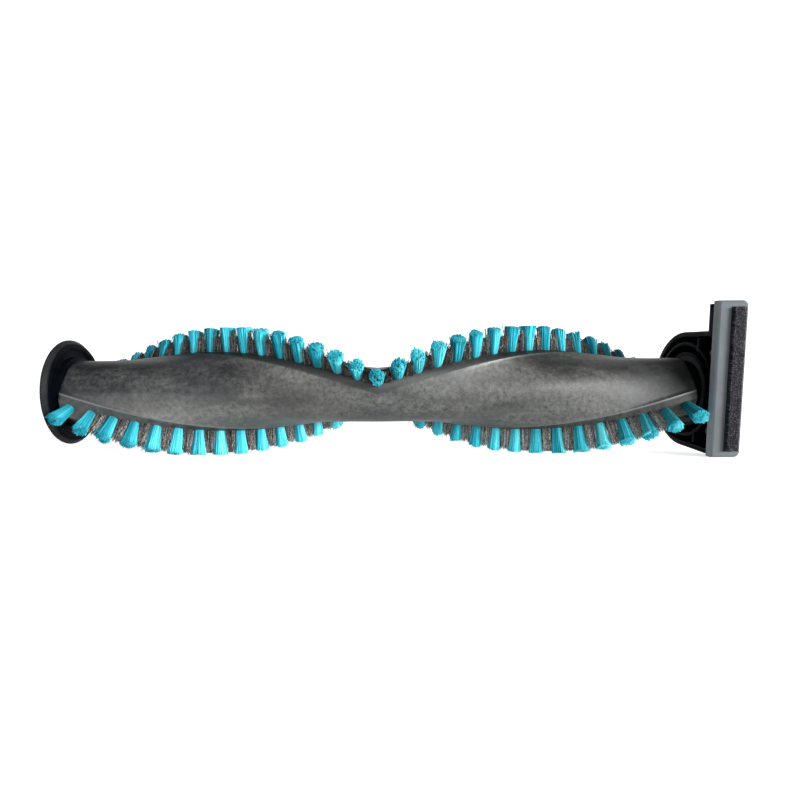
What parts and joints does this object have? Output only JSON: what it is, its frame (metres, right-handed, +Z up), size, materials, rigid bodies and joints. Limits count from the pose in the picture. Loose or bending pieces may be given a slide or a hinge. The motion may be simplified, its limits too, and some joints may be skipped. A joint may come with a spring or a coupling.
{
  "type": "vacuum roller brush",
  "caption": "Twisted two-lobed brush roll with chevron rows of teal tufts, a drive flange and socket at one end and a bearing end cap with a grey sole bar at the other.",
  "frame": {"origin": "on the roller axis, at the mouth of the drive socket", "axes": "+X along the roller axis from the drive end to the idle end, +Z up, -Y out of the sole bar"},
  "size_m": [0.249, 0.051, 0.055],
  "materials": {
    "grey_core_plastic": "satin moulded, dusty",
    "teal_bristle": "nylon filament",
    "grey_bristle": "nylon filament",
    "black_plastic": "satin moulded",
    "coupling_plastic": "glass-filled nylon",
    "steel": "bright",
    "bronze": "sintered",
    "boot_rubber": "matt",
    "felt": "felt",
    "grey_sole_plastic": "satin moulded",
    "pile": "short pile"
  },
  "bodies": {
    "end_cap": {"bearing_carrier": "black_plastic", "bearing_bush": "bronze", "rubber_boot": "boot_rubber", "felt_seal": "felt", "hub_cover": "black_plastic", "sole_cover": "grey_sole_plastic", "pile_strip": "pile", "cover_screws": "steel"},
    "roller": {"roller_core": "grey_core_plastic", "teal_tufts_a": "teal_bristle", "teal_tufts_b": "teal_bristle", "grey_tufts_a": "grey_bristle", "grey_tufts_b": "grey_bristle", "tuft_anchors": "steel", "drive_flange": "black_plastic", "drive_coupling": "coupling_plastic", "idle_plug": "black_plastic", "axle_pin": "steel", "thrust_washer": "steel", "retaining_clip": "steel"}
  },
  "joints": [
    {"name": "roller_spin", "type": "hinge", "parent": "end_cap", "child": "roller", "pos_m": [0.2439, 0, 0], "axis": [1, 0, 0], "continuous": true}
  ]
}
